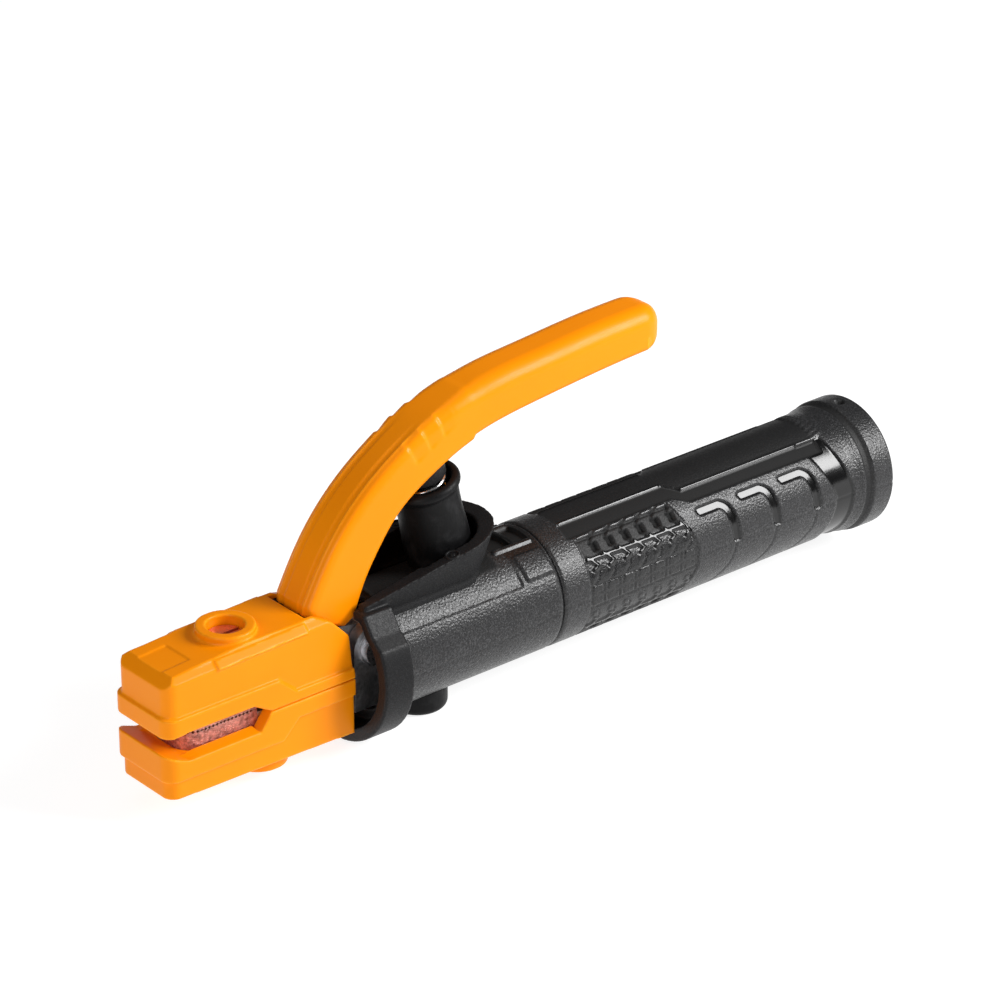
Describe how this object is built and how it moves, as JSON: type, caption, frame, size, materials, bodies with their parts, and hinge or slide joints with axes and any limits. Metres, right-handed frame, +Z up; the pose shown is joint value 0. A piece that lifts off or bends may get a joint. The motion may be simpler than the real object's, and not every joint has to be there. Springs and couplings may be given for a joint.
{
  "type": "electrode holder",
  "caption": "Sprung welding electrode holder: insulated jaws on a curved lever above a round grooved handle with a collar guard and a cable entry.",
  "frame": {"origin": "centre of the cable entry in the handle's rear face", "axes": "+X along the handle's axis, out of the cable entry; +Z up, towards the lever; Y across, with the lever's hinge axis along it"},
  "size_m": [0.2583, 0.0472, 0.1001],
  "materials": {
    "black_grip": "fine grained moulded nylon, satin",
    "grey_guard": "smooth moulded nylon, satin",
    "black_rubber": "moulded rubber, dull",
    "yellow_insulation": "orange-yellow moulded plastic, gloss",
    "cast_metal": "tinned brass casting, rough cast skin",
    "copper": "bare copper, scratched",
    "copper_screw": "copper-plated screw",
    "steel": "zinc-plated steel",
    "bush_brass": "bronze bush",
    "spring_steel": "bright plated spring wire"
  },
  "bodies": {
    "holder": {"handle_grip": "black_grip", "front_sleeve": "black_grip", "front_guard": "grey_guard", "foot_cap": "black_rubber", "handle_lock_screw": "steel", "conductor_body": "cast_metal", "cable_clamp_shoe": "copper", "cable_set_screws": "steel", "lower_jaw_contact": "copper", "lower_contact_rivets": "copper", "lower_jaw_insulator": "yellow_insulation", "lower_insulator_screw": "copper_screw", "spring_cup": "black_rubber", "compression_spring": "spring_steel", "pivot_pin": "steel", "pivot_washers": "steel", "pivot_clip": "steel"},
    "lever": {"lever_core": "cast_metal", "pivot_bushing": "bush_brass", "upper_jaw_contact": "copper", "upper_contact_rivets": "copper", "upper_jaw_insulator": "yellow_insulation", "upper_insulator_screw": "copper_screw", "lever_cover": "yellow_insulation", "lever_cover_screw": "steel", "spring_top_seat": "grey_guard"}
  },
  "joints": [
    {"name": "lever_pivot", "type": "hinge", "parent": "holder", "child": "lever", "pos_m": [-0.187, 0, 0.006], "axis": [0, 1, 0], "range_deg": [0, 12], "stiffness_Nm_per_rad": 9, "springref_deg": -20.05, "deforming": ["compression_spring", "spring_cup"]}
  ]
}
